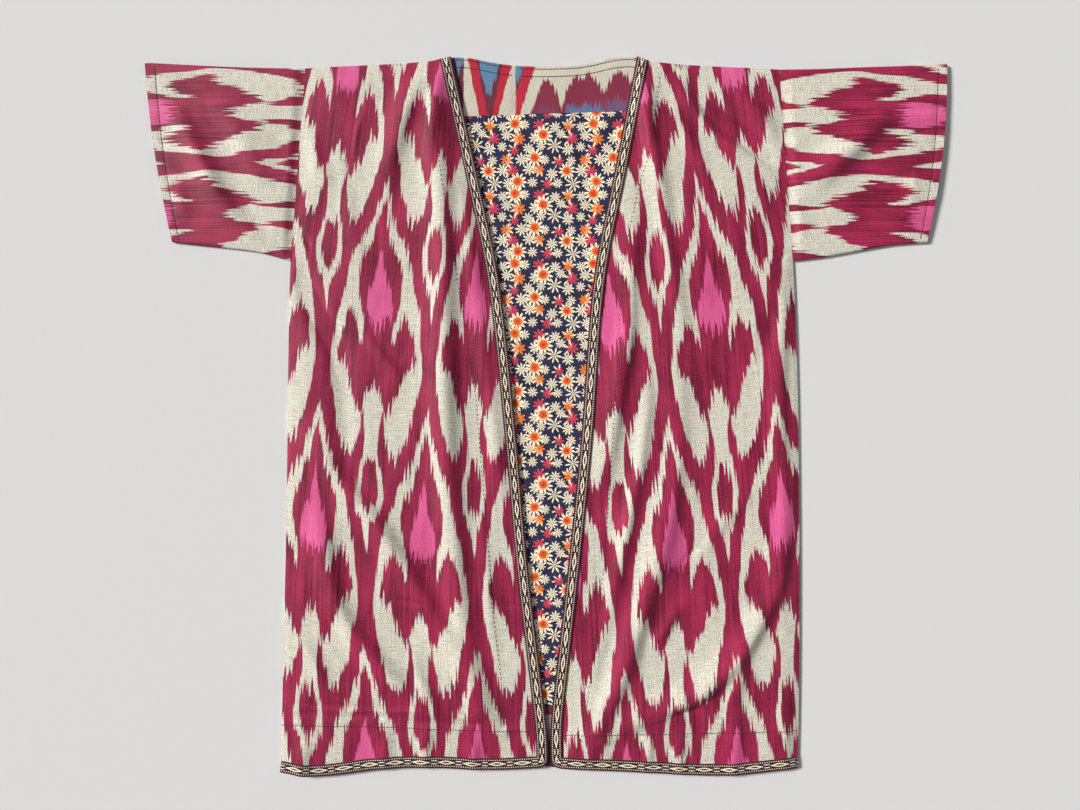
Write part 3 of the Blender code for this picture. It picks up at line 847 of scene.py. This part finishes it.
# Where the columns of figures run on each front: x at heights y of four columns, half a pitch apart, and how
# far the figures are drawn down there. The tips are the height of the arch tip nearest the waist in each
# column, as if all were in step. The first column's number says which columns are half a period off.
WarpRow = namedtuple("WarpRow", "y first second third fourth drawn")
Warp = namedtuple("Warp", "number tips rows")
WARPS = {
    "right": Warp(0, (22, 6.5, 6.5, 5), [
        WarpRow(-382, -302, -230, -156, -86, 0),
        WarpRow(-249, -299.5, -230.5, -159, -89.5, 0),
        WarpRow(-116, -294.5, -226, -154, -92, 0),
        WarpRow(6, -287, -221, -150, -91.5, 0),
        WarpRow(218, -275.5, -208, -138.5, -87.5, 0),
        WarpRow(305, -266.5, -200.5, -133, -84, 7),
        WarpRow(427, -253, -190, -126, -76, 16),
    ]),
    "left": Warp(1, (-23, -2.5, 0, 25), [
        WarpRow(-361, 100.5, 166.5, 241.5, 307.5, 0),
        WarpRow(-234, 96.5, 165, 235.5, 303.5, 0),
        WarpRow(-102, 92.5, 161.5, 226.5, 298.5, 0),
        WarpRow(11.5, 86.5, 153, 219.5, 291, 0),
        WarpRow(122, 82, 146, 211.5, 281, 0),
        WarpRow(217, 77.5, 139.5, 203, 272, 0),
        WarpRow(302, 70.5, 129.5, 192, 256.5, -9),
        WarpRow(427, 54, 112, 174, 239, 16),
    ]),
}


def line_through(places, values, at):
    """Straight pieces through the values, carried on past both ends. The places may vary by point."""
    result = np.zeros_like(at)
    for n in range(len(places) - 1):
        share = (at - places[n]) / (places[n + 1] - places[n])
        low = -np.inf if n == 0 else 0
        high = np.inf if n == len(places) - 2 else 1
        chosen = (share >= low) & (share < high)
        result = np.where(chosen, mix(values[n], values[n + 1], share), result)
    return result


def front_cloth_places(hand, x, y):
    """The cloth coordinates of points on a front."""
    warp = WARPS[hand]
    heights, *columns, drawn = (np.array(values) * MM for values in zip(*warp.rows))
    numbers = [warp.number + n for n in range(len(columns))]
    column = line_through([line_through(heights, places, y) for places in columns], numbers, x)
    tip = line_through(numbers, np.array(warp.tips) * MM, column)
    return np.stack([column * COLUMN_PITCH / 2 * MM, tip - y - line_through(heights, drawn, y)], axis=-1)


def plain_places(x, y):
    return np.stack([x, y], axis=-1)


# ---- body

SEAM_SLOPE = 26 * MM
SEAM_ROLL = 5 * MM
ROLL_DROP = 0.8 * MM
LOWEST_DIP = 0.9 * MM
OPENING_SHELF = 30 * MM
CORNER_RADIUS = 11 * MM
FRONT_RIPPLES = (Ripple(0.45, 26, 3, 0.5), Ripple(0.6, 11, 4, 0.16))
SLACK = Ripple(0.5, 70, 5, 0.9)
# How much of the ripples is left where the flat braid holds an edge down
HELD_SHARE = 0.15
FRONT_COLUMNS, FRONT_ROWS = 128, 350
BACK_COLUMNS, BACK_ROWS = 120, 90
BACK_FIGURE_TIP = 10 * MM
# What the back's edges are read short of, beside its corners: at the side, the hem and the shoulder
BACK_GAPS = (8 * MM, 12 * MM, 18 * MM)


def front_height(hand, x, y):
    """The height of a front's upper face."""
    outline = FRONTS[hand]
    from_side = np.abs(x - outline.side(y))
    from_shoulder = outline.shoulder(x) - y
    from_opening = np.abs(x - outline.opening(y))
    from_hem = y - outline.hem(x)
    raised = soft_step(np.minimum(from_side, from_shoulder) / SEAM_SLOPE)
    shelf = 1 - soft_step(from_opening / OPENING_SHELF - 1)
    level = mix(BACK_TOP, LINING_TOP, np.maximum(raised, shelf)) + PANEL_GAP + FRONT_WALL
    folds = field_height(FRONT_FIELD, x, y)
    slack = rippled([SLACK], x, y) + SLACK.height
    # A seam rolls the edge under, but not where the sleeve is sewn on, and the braid holds the edges down.
    on_sleeve = soft_step((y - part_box(f"{hand}_sleeve")[0].y) / SEAM_SLOPE)
    at_side = (1 - soft_step(from_side / SEAM_ROLL)) * (1 - on_sleeve)
    roll = np.maximum(at_side, 1 - soft_step(from_shoulder / SEAM_ROLL)) * ROLL_DROP
    free = soft_step(np.minimum(from_opening, from_hem) / (2 * BRAID_WIDTH)) * (1 - HELD_SHARE) + HELD_SHARE
    height = level + raised * (folds + (rippled(FRONT_RIPPLES, x, y) + slack) * MM * free) - roll
    return np.maximum(height, BACK_TOP + PANEL_GAP + FRONT_WALL - LOWEST_DIP)


def round_corner(x, y, corner, inward):
    """Pulls points near a front's lower free corner inside a round corner."""
    over_x = np.maximum(CORNER_RADIUS - (corner[0] - x) * inward, 0)
    over_y = np.maximum(CORNER_RADIUS - (y - corner[1]), 0)
    reach = np.hypot(over_x, over_y)
    # A square corner's ray of length `reach` becomes as long as its longer side.
    scale = np.where(reach > 0, np.maximum(over_x, over_y) / np.maximum(reach, TINY), 1)
    return x + (over_x * (1 - scale)) * -inward, y + over_y * (1 - scale)


def front_points(hand, across, up):
    """Points of a front's upper face at shares across it, from the side seam, and up it, from the hem."""
    outline = FRONTS[hand]
    y = mix(outline.foot, outline.head, up)
    # Each pass reads the edges nearer to the points' own heights.
    for _ in range(3):
        x = mix(outline.side(y), outline.opening(y), across)
        inside = np.clip(x, outline.shoulder.keys[0], outline.shoulder.keys[-1])
        y = mix(outline.hem(x), outline.shoulder(inside), up)
    return x, y


def free_corner(hand):
    """The lower free corner of a front, before it is rounded."""
    outline = FRONTS[hand]
    x = float(outline.opening(outline.foot + BRAID_WIDTH))
    return x, float(outline.hem(x))


def shares(columns, rows):
    return np.meshgrid(np.linspace(0, 1, columns), np.linspace(0, 1, rows))


def make_front(hand, material):
    outline = FRONTS[hand]
    across, up = shares(FRONT_COLUMNS, FRONT_ROWS)
    if hand == "left":
        across = across[:, ::-1]
    x, y = front_points(hand, across, up)
    cloth = front_cloth_places(hand, x, y)
    x, y = round_corner(x, y, free_corner(hand), 1 if hand == "right" else -1)
    points = np.stack([x, y, front_height(hand, x, y)], axis=-1)
    piece = cloth_piece(f"{hand}_front", points, cloth, FRONT_WALL * FRONT_THINNER, material)
    finish_piece(piece, "crimson_ikat", f"{hand}_front_panel")
    width = float(np.abs(outline.opening(outline.foot) - outline.side(outline.foot)))
    return piece, (width, outline.head - outline.foot), plan_area(points)


def make_back(material):
    """The back panel. Its upper edge is given back, because the neckline runs along it."""
    low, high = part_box("back_panel")
    beside, above_hem, below_top = BACK_GAPS
    heights = (low.y + above_hem, high.y - below_top)
    left, right = (Edge("back_panel", 1, *heights, highest) for highest in (False, True))
    hem = Edge("back_panel", 0, low.x + beside, high.x - beside, False)
    top = Edge("back_panel", 0, float(left(high.y)) + beside, float(right(high.y)) - beside, True)
    across, up = shares(BACK_COLUMNS, BACK_ROWS)
    nominal = mix(low.y, high.y, up)
    x = mix(left(nominal), right(nominal), across)
    y = mix(hem(x), top(np.clip(x, top.keys[0], top.keys[-1])), up)
    points = np.stack([x, y, np.full_like(x, high.z)], axis=-1)
    piece = cloth_piece("back", points, plain_places(x, BACK_FIGURE_TIP - y), high.z - low.z, material)
    finish_piece(piece, "crimson_ikat", "back_panel")
    plan_area(points)
    return top


# ---- sleeves

SLEEVE_ROWS = 90
# The points round a sleeve's section: over the top, round a fold, and below
SLEEVE_UPPER, SLEEVE_TURN, SLEEVE_LOWER = 76, 6, 30
SLEEVE_WALL = 1.1 * MM
# What a sleeve's edges are read short of, beside its corners
SLEEVE_GAP, CUFF_GAP = 4 * MM, 3 * MM
SLEEVE_EDGE_RADIUS = 2.2 * MM
SLEEVE_CROWN, CROWN_POWER = 1.4 * MM, 0.6
SLEEVE_RIPPLES = (Ripple(1, 24, 13, 0.45), Ripple(1, 10, 14, 0.16))
SLEEVE_RIPPLE_LIFT = 0.5
SLEEVE_SEAM_DIP = 15 * MM
CUFF_HEM = 12 * MM
CUFF_GROOVE_DEPTH, CUFF_GROOVE_WIDTH = 0.5 * MM, 3 * MM
# Rows of figures along each sleeve: the height of the upper one, the pitch between rows of a kind, and where
# the middle of each magenta flame is, which lies at the cuff.
SLEEVE_FIGURES = {"right": (386, -511, -512), "left": (382, 487, 500)}
SLEEVE_PITCH = 131
FLAME_MIDDLE = 152


def sleeve_section():
    """Round a sleeve's section: the share of the way down, how far past it, the rise, and the upper part."""
    radius = SLEEVE_EDGE_RADIUS
    turn = np.linspace(0, math.pi, SLEEVE_TURN + 2)[1:-1]
    flat_upper, flat_lower = np.zeros(SLEEVE_UPPER), np.zeros(SLEEVE_LOWER)
    past = np.concatenate([flat_upper, radius * np.sin(turn), flat_lower, -radius * np.sin(turn)])
    share = np.concatenate([np.linspace(0, 1, SLEEVE_UPPER), np.ones(SLEEVE_TURN),
                            np.linspace(1, 0, SLEEVE_LOWER), np.zeros(SLEEVE_TURN)])
    rise = np.concatenate([flat_upper + 2 * radius, radius * (1 + np.cos(turn)), flat_lower,
                           radius * (1 - np.cos(turn))])
    return share, past, rise, (np.arange(len(share)) < SLEEVE_UPPER) * 1.0


def make_sleeve(hand, material, thread):
    node = f"{hand}_sleeve"
    outward = -1 if hand == "right" else 1
    points = np.array([vertex.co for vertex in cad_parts[node].data.vertices])

    def corner(outer, upper):
        """The node's corner that is furthest out or in, and up or down."""
        return points[np.argmax(points[:, 0] * outward * outer + points[:, 1] * upper)]

    def fold_line(upper):
        """The upper or lower fold of the sleeve, from the armhole out to the cuff."""
        start, end = corner(-1, upper) - [outward * PANEL_GAP, 0, 0], corner(1, upper)
        ends = sorted((start[0], end[0]))
        edge = Edge(node, 0, ends[0] + SLEEVE_GAP, ends[1] - SLEEVE_GAP, upper > 0)
        x = np.linspace(start[0], end[0], SLEEVE_ROWS)
        return x, edge(x)

    (top_x, top_y), (under_x, under_y) = fold_line(1), fold_line(-1)
    length = float(abs(corner(1, 1)[0] - corner(-1, 1)[0]))
    depth = np.hypot(top_x - under_x, top_y - under_y)
    share, past, rise, on_top = sleeve_section()
    distance = (SLEEVE_EDGE_RADIUS + share * (depth[:, None] - 2 * SLEEVE_EDGE_RADIUS)) + past
    down = distance / depth[:, None]
    x = mix(top_x[:, None], under_x[:, None], down)
    y = mix(top_y[:, None], under_y[:, None], down)
    # The cuff's bow fades towards the armhole.
    cuff = Edge(node, 1, corner(1, -1)[1] + CUFF_GAP, corner(1, 1)[1] - CUFF_GAP, outward > 0)
    from_armhole = np.linspace(0, 1, SLEEVE_ROWS)[:, None]
    bow = np.clip((cuff(y) - mix(top_x[-1], under_x[-1], down)) * outward, 0, None)
    x = x + outward * bow * from_armhole**2

    crown = np.sin(math.pi * share) ** CROWN_POWER * on_top
    folds = field_height(SLEEVE_FIELD, x, y)
    ripple = rippled(SLEEVE_RIPPLES, x, y) + SLEEVE_RIPPLE_LIFT
    dip = 1 - soft_step(from_armhole * length / SLEEVE_SEAM_DIP)
    z = rise + crown * (SLEEVE_CROWN + folds + ripple * MM) * (1 - dip) - dip * on_top * SLEEVE_WALL
    from_seam = (1 - from_armhole) * length - CUFF_HEM
    z = z - crown * CUFF_GROOVE_DEPTH * np.exp(-((from_seam / CUFF_GROOVE_WIDTH) ** 2))
    grid = np.stack([x, y, z], axis=-1)
    cuff_row = (SLEEVE_ROWS - 1) * (1 - CUFF_HEM / length)
    below = int(cuff_row)
    cuff_seam = mix(grid[below, 1:SLEEVE_UPPER], grid[below + 1, 1:SLEEVE_UPPER], cuff_row - below)

    upper_y, upper_flame, lower_flame = SLEEVE_FIGURES[hand]
    rows_down = (upper_y * MM - y) / (SLEEVE_PITCH * MM)
    flame_x = mix(upper_flame, lower_flame, rows_down) * MM
    along = FLAME_MIDDLE * MM + (flame_x - x) * outward
    cloth = np.stack([rows_down * COLUMN_PITCH * MM, along], axis=-1)
    if hand == "right":
        grid, cloth = grid[::-1], cloth[::-1]
    piece = cloth_piece(f"{hand}_sleeve_tube", grid, cloth, SLEEVE_WALL, material, tube=True)
    finish_piece(piece, "crimson_ikat", node)
    stitches = make_stitches(f"{hand}_cuff_stitches", cuff_seam[:, :2],
                             lambda x, y: np.interp(-y, -cuff_seam[:, 1], cuff_seam[:, 2]), "cuff", thread)
    2 * plan_area(grid[:, :SLEEVE_UPPER])


# ---- inside the opening

INNER_RIPPLES = (Ripple(0.5, 22, 21, 0.35), Ripple(1, 9, 22, 0.12))
INNER_RIPPLE_LIFT = 0.3
INNER_SLOPE = 8 * MM
INNER_SINK = 0.25 * MM
INNER_COLUMNS, INNER_STEP = 60, 4 * MM
# Its sides are read short of its corners, more so at its head, and its head and foot over most of its width.
INNER_INSET, INNER_HEAD = 6 * MM, 2.2
TOP_REACH, FOOT_REACH = 0.48, 0.42
# The least share of its flat size that a piece covers, as the lining is a wedge
LEAST_SHARE = 0.31


def make_inner(node, name, material, slot, cloth_place):
    """A piece of lining or facing, on its CAD node's outline, lightly rippled. Its height is given back."""
    low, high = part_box(node)
    inset = min(INNER_INSET, (high.y - low.y) / 4)
    heights = (low.y + inset, high.y - inset * INNER_HEAD)
    left, right = (Edge(node, 1, *heights, highest) for highest in (False, True))

    def crossing(middle, y, share, highest):
        """The edge that runs across the piece at about a height, read over a share of its width."""
        reach = share * float(right(y) - left(y))
        return Edge(node, 0, middle - reach, middle + reach, highest)

    top = crossing((low.x + high.x) / 2, high.y, TOP_REACH, True)
    foot = crossing(float(right(low.y) + left(low.y)) / 2, low.y, FOOT_REACH, False)
    across, up = shares(INNER_COLUMNS, max(5, int((high.y - low.y) / INNER_STEP)))
    nominal = mix(low.y, high.y, up)
    x = mix(left(nominal), right(nominal), across)
    y = mix(foot(x), top(x), up)

    def height(x, y):
        from_edge = np.minimum(np.minimum(top(x) - y, y - foot(x)), np.minimum(x - left(y), right(y) - x))
        ripple = rippled(INNER_RIPPLES, x, y) + INNER_RIPPLE_LIFT
        return high.z - INNER_SINK + soft_step(from_edge / INNER_SLOPE) * ripple * MM

    points = np.stack([x, y, height(x, y)], axis=-1)
    piece = cloth_piece(name, points, cloth_place(x, y), (high.z - low.z) * INNER_THINNER, material)
    finish_piece(piece, slot, node)
    max(plan_area(points), LEAST_SHARE * (high.x - low.x) * (high.y - low.y))
    return height


# ---- braid

BRAID_COLUMNS, BRAID_STEP = 9, 3.2 * MM
BRAID_WALL, BRAID_LIFT, BRAID_CROWN = 0.6 * MM, 0.45 * MM, 0.35 * MM
# How far the braid stands out past the front's edge, as a share of its width
BRAID_OVER = 0.02


def edge_path(hand):
    """The outer edge of a front's braid: down its free edge, round the corner and along the hem."""
    outline = FRONTS[hand]
    corner_x, corner_y = free_corner(hand)
    radius = CORNER_RADIUS if hand == "right" else -CORNER_RADIUS
    middle_x, middle_y = corner_x - radius, corner_y + CORNER_RADIUS
    down_y = np.linspace(float(outline.shoulder(outline.opening(outline.head))), middle_y, 300)
    turn = np.linspace(0, math.pi / 2, 14)[1:-1]
    along_x = np.linspace(middle_x, float(outline.side(outline.foot)), 120)
    return np.concatenate([
        plain_places(outline.opening(down_y), down_y),
        plain_places(middle_x + radius * np.cos(turn), middle_y - CORNER_RADIUS * np.sin(turn)),
        plain_places(along_x, outline.hem(along_x)),
    ])


def even_path(path, step):
    """The path again, in equal steps, with the distance along it."""
    lengths = np.concatenate([[0], np.cumsum(np.hypot(*np.diff(path, axis=0).T))])
    distance = np.linspace(0, lengths[-1], max(2, int(lengths[-1] / step)))
    return np.stack([np.interp(distance, lengths, path[:, n]) for n in (0, 1)], axis=-1), distance


def make_braid_piece(hand, material):
    path, distance = even_path(edge_path(hand), BRAID_STEP)
    step = np.gradient(path, axis=0)
    step /= np.linalg.norm(step, axis=1)[:, None]
    inward = np.stack([-step[:, 1], step[:, 0]], axis=-1) * (1 if hand == "left" else -1)
    share = np.linspace(-BRAID_OVER, 1, BRAID_COLUMNS)
    x, y = (path[:, n:n + 1] + inward[:, n:n + 1] * share * BRAID_WIDTH for n in (0, 1))
    y = np.minimum(y, FRONTS[hand].shoulder(x))
    crown = np.sin(math.pi * np.clip(share, 0, 1)) ** 0.5 * BRAID_CROWN
    points = np.stack([x, y, front_height(hand, x, y) + BRAID_LIFT + crown], axis=-1)
    cloth = np.stack(np.broadcast_arrays((share - 0.5) * BRAID_WIDTH, distance[:, None]), axis=-1)
    if hand == "right":
        points, cloth = points[:, ::-1], cloth[:, ::-1]
    piece = cloth_piece(f"{hand}_braid", points, cloth, BRAID_WALL, material)
    finish_piece(piece, "patterned_braid", f"{hand}_edge_braid", f"{hand}_hem_braid")


# ---- stitches

# The pitch of each kind of stitch, its length and its width
STITCHES = {"neck": (3.9, 3.1, 0.7), "cuff": (4.2, 3.3, 0.6), "hem": (4.6, 3.1, 0.7),
            "facing": (6.0, 2.6, 0.5), "thread_end": (7, 5, 0.9)}
# The two rows below the back neckline
NECK_STITCHES = {"upper": 3.5 * MM, "lower": 13 * MM}
# Where the facings behind the fronts are caught: along the hem, and down beside the opening
HEM_STITCHES = {
    "right": [(-338, -393), (-200, -395), (-100, -399), (0, -401)],
    "left": [(0, -405), (39, -405), (150, -404), (250, -402), (320, -400)],
}
FACING_STITCHES = {
    "right": [(-151, 438), (-150, 418), (-89, 20), (-66, -262), (-57, -335)],
    "left": [(145, 432), (128, 323), (119, 298), (105, 234), (97, 189), (75, -182), (58, -319), (48, -396)],
}
# The hem's thread ends here on the left front
THREAD_END = [(38, -401), (40, -405), (44, -411), (47, -413)]
STITCH_STEP = 0.4 * MM
FIRST_STITCH = 0.3
# A stitch is a bar of three rings, sunk at both ends; a ring's points are shares of the stitch's width.
STITCH_RING = ((-0.5, 0.0), (-0.5, 0.7), (0.5, 0.7), (0.5, 0.0))
STITCH_LIFTS = (-0.25, 0.35, -0.25)


def make_stitches(name, path, height, kind, material):
    """A row of stitches along a path: small bars that lie on the cloth, with a gap after each."""
    pitch, length, width = (value * MM for value in STITCHES[kind])
    places, distance = even_path(np.asarray(path), STITCH_STEP)
    points, quads = [], []
    for start in np.arange(FIRST_STITCH * pitch, distance[-1] - length, pitch):
        ends = [np.array([np.interp(start + part * length, distance, places[:, n]) for n in (0, 1)])
                for part in (0, 0.5, 1)]
        run = ends[2] - ends[0]
        side = np.array([-run[1], run[0]]) / max(np.linalg.norm(run), TINY) * width
        base = len(points)
        for part, lift in zip(ends, STITCH_LIFTS):
            level = float(height(part[0:1], part[1:2])[0])
            for shift, rise in STITCH_RING:
                points.append((*map(float, part + side * shift), level + (rise * width) + lift * width))
        for ring in (base, base + 4):
            quads += [(ring + n, ring + (n + 1) % 4, ring + 4 + (n + 1) % 4, ring + 4 + n) for n in range(4)]
        quads += [(base + 3, base + 2, base + 1, base), (base + 8, base + 9, base + 10, base + 11)]
    mesh = bpy.data.meshes.new(name)
    mesh.from_pydata(points, [], quads)
    mesh.materials.append(material)
    mesh.update()
    return finish_piece(add_object(name, mesh), "patterned_braid")


# ---- stage

CAMERA_X, CAMERA_Y = -7.6 * MM, 14 * MM
# How wide the picture is in metres, at about the height of the cloth
VIEW_WIDTH, VIEW_HEIGHT = 1.3716, 5 * MM
LENS, SENSOR = 27, 36
FLOOR_REACH, FLOOR_DROP, FLOOR_COLOUR = 40, 0.2 * MM, (0.62, 0.62, 0.61, 1)
# Suns: where the light comes from, its power, its angle in degrees and its tint
SUNS = {"key": ((-1.0, 0.36, 0.58), 5.7, 14, (1, 0.985, 0.96)),
        "fill": ((0.5, -0.4, 1.0), 0.25, 60, (1, 1, 1))}
SKY, SKY_POWER = (0.9, 0.93, 1, 1), 0.22


def make_stage():
    mesh = bpy.data.meshes.new("floor")
    corners = ((-1, -1), (1, -1), (1, 1), (-1, 1))
    mesh.from_pydata([(x * FLOOR_REACH, y * FLOOR_REACH, 0) for x, y in corners], [], [(0, 1, 2, 3)])
    floor = add_object("floor", mesh)
    floor.location.z = -FLOOR_DROP
    material, _, shader = new_material("pale_floor", roughness=0.9, sheen=0, specular=0.15)
    shader.inputs["Base Color"].default_value = FLOOR_COLOUR
    mesh.materials.append(material)


def make_camera_and_lights():
    data = bpy.data.cameras.new("camera")
    data.lens = LENS
    data.sensor_width = SENSOR
    camera = add_object("camera", data)
    camera.location = (CAMERA_X, CAMERA_Y, VIEW_WIDTH * LENS / SENSOR + VIEW_HEIGHT)
    bpy.context.scene.camera = camera
    for name, (direction, power, angle, tint) in SUNS.items():
        data = bpy.data.lights.new(name, "SUN")
        data.energy = power
        data.angle = math.radians(angle)
        data.color = tint
        add_object(name, data).rotation_euler = Vector(direction).to_track_quat("Z", "Y").to_euler()
    world = bpy.data.worlds.new("studio")
    world.use_nodes = True
    sky = world.node_tree.nodes["Background"].inputs
    sky[0].default_value = SKY
    sky[1].default_value = SKY_POWER
    bpy.context.scene.world = world
    bpy.context.scene.view_settings.view_transform = "Standard"


# ---- the robe

# How far the hem facing's cloth places are moved up, so that they start at its top, and how far above the hem
# the row of stitches along it is cut off at the opening
HEM_FACING_TOP = 380 * MM
HEM_STITCH_END = 50 * MM
NECK_STITCH_INSET = 4 * MM


def make_inside(neckline, thread):
    """The facings and the lining that show in the opening."""
    def neck_places(x, y):
        return plain_places(x, y - neckline(x))

    cloths = {"striped": make_facing_cloth("striped_ikat_cloth", STRIPED_FACING, []),
              "pale": make_facing_cloth("pale_ikat_cloth", PALE_FACING, PALE_PEAKS)}
    for hand, kind in (("right", "striped"), ("left", "pale")):
        node = f"neck_facing_{hand}"
        height = make_inner(node, f"neck_facing_{kind}", cloths[kind], f"{kind}_ikat", neck_places)
        low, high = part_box(node)
        x = np.linspace(low.x + NECK_STITCH_INSET, high.x - NECK_STITCH_INSET, 40)
        for row, below in NECK_STITCHES.items():
            path = plain_places(x, neckline(x) - below)
            make_stitches(f"{hand}_neck_stitches_{row}", path, height, "neck", thread)
    make_inner("back_lining", "lining", make_calico("calico_print"), "floral_calico", plain_places)
    red = make_red_cotton("red_cotton_cloth")
    make_inner("hem_facing_strip", "hem_red_strip", red, "red_cotton", plain_places)
    make_inner("hem_facing", "hem_pale_facing", make_hem_ikat("hem_ikat_cloth"), "pale_ikat",
               lambda x, y: plain_places(x, y + HEM_FACING_TOP))


def stitch_front(hand, thread):
    """The stitches of a front: along the hem, beside the opening, and the thread's end."""
    outline = FRONTS[hand]
    ends = outline.side(outline.foot), outline.opening(outline.foot + HEM_STITCH_END)
    hem_x = np.linspace(*map(float, ends), 60)
    hem_y = np.interp(hem_x, *(np.array(HEM_STITCHES[hand]) * MM).T)
    rows = [("hem_stitches", "hem", plain_places(hem_x, hem_y)),
            ("facing_stitches", "facing", np.array(FACING_STITCHES[hand]) * MM)]
    if hand == "left":
        rows.append(("thread_end", "thread_end", np.array(THREAD_END) * MM))
    height = functools.partial(front_height, hand)
    return [make_stitches(f"{hand}_{name}", path, height, kind, thread) for name, kind, path in rows]


def make_robe():
    ikat = make_ikat("crimson_ikat_cloth")
    braid = make_braid("braid_weave")
    thread, _, shader = new_material("dark_thread", roughness=0.6)
    shader.inputs["Base Color"].default_value = colour(44, 16, 26)

    neckline = make_back(ikat)
    for hand in HANDS:
        make_sleeve(hand, ikat, thread)
    make_inside(neckline, thread)
    for hand in HANDS:
        piece, flat, area = make_front(hand, ikat)
        make_braid_piece(hand, braid)
        stitch_front(hand, thread)


make_robe()
make_stage()
make_camera_and_lights()
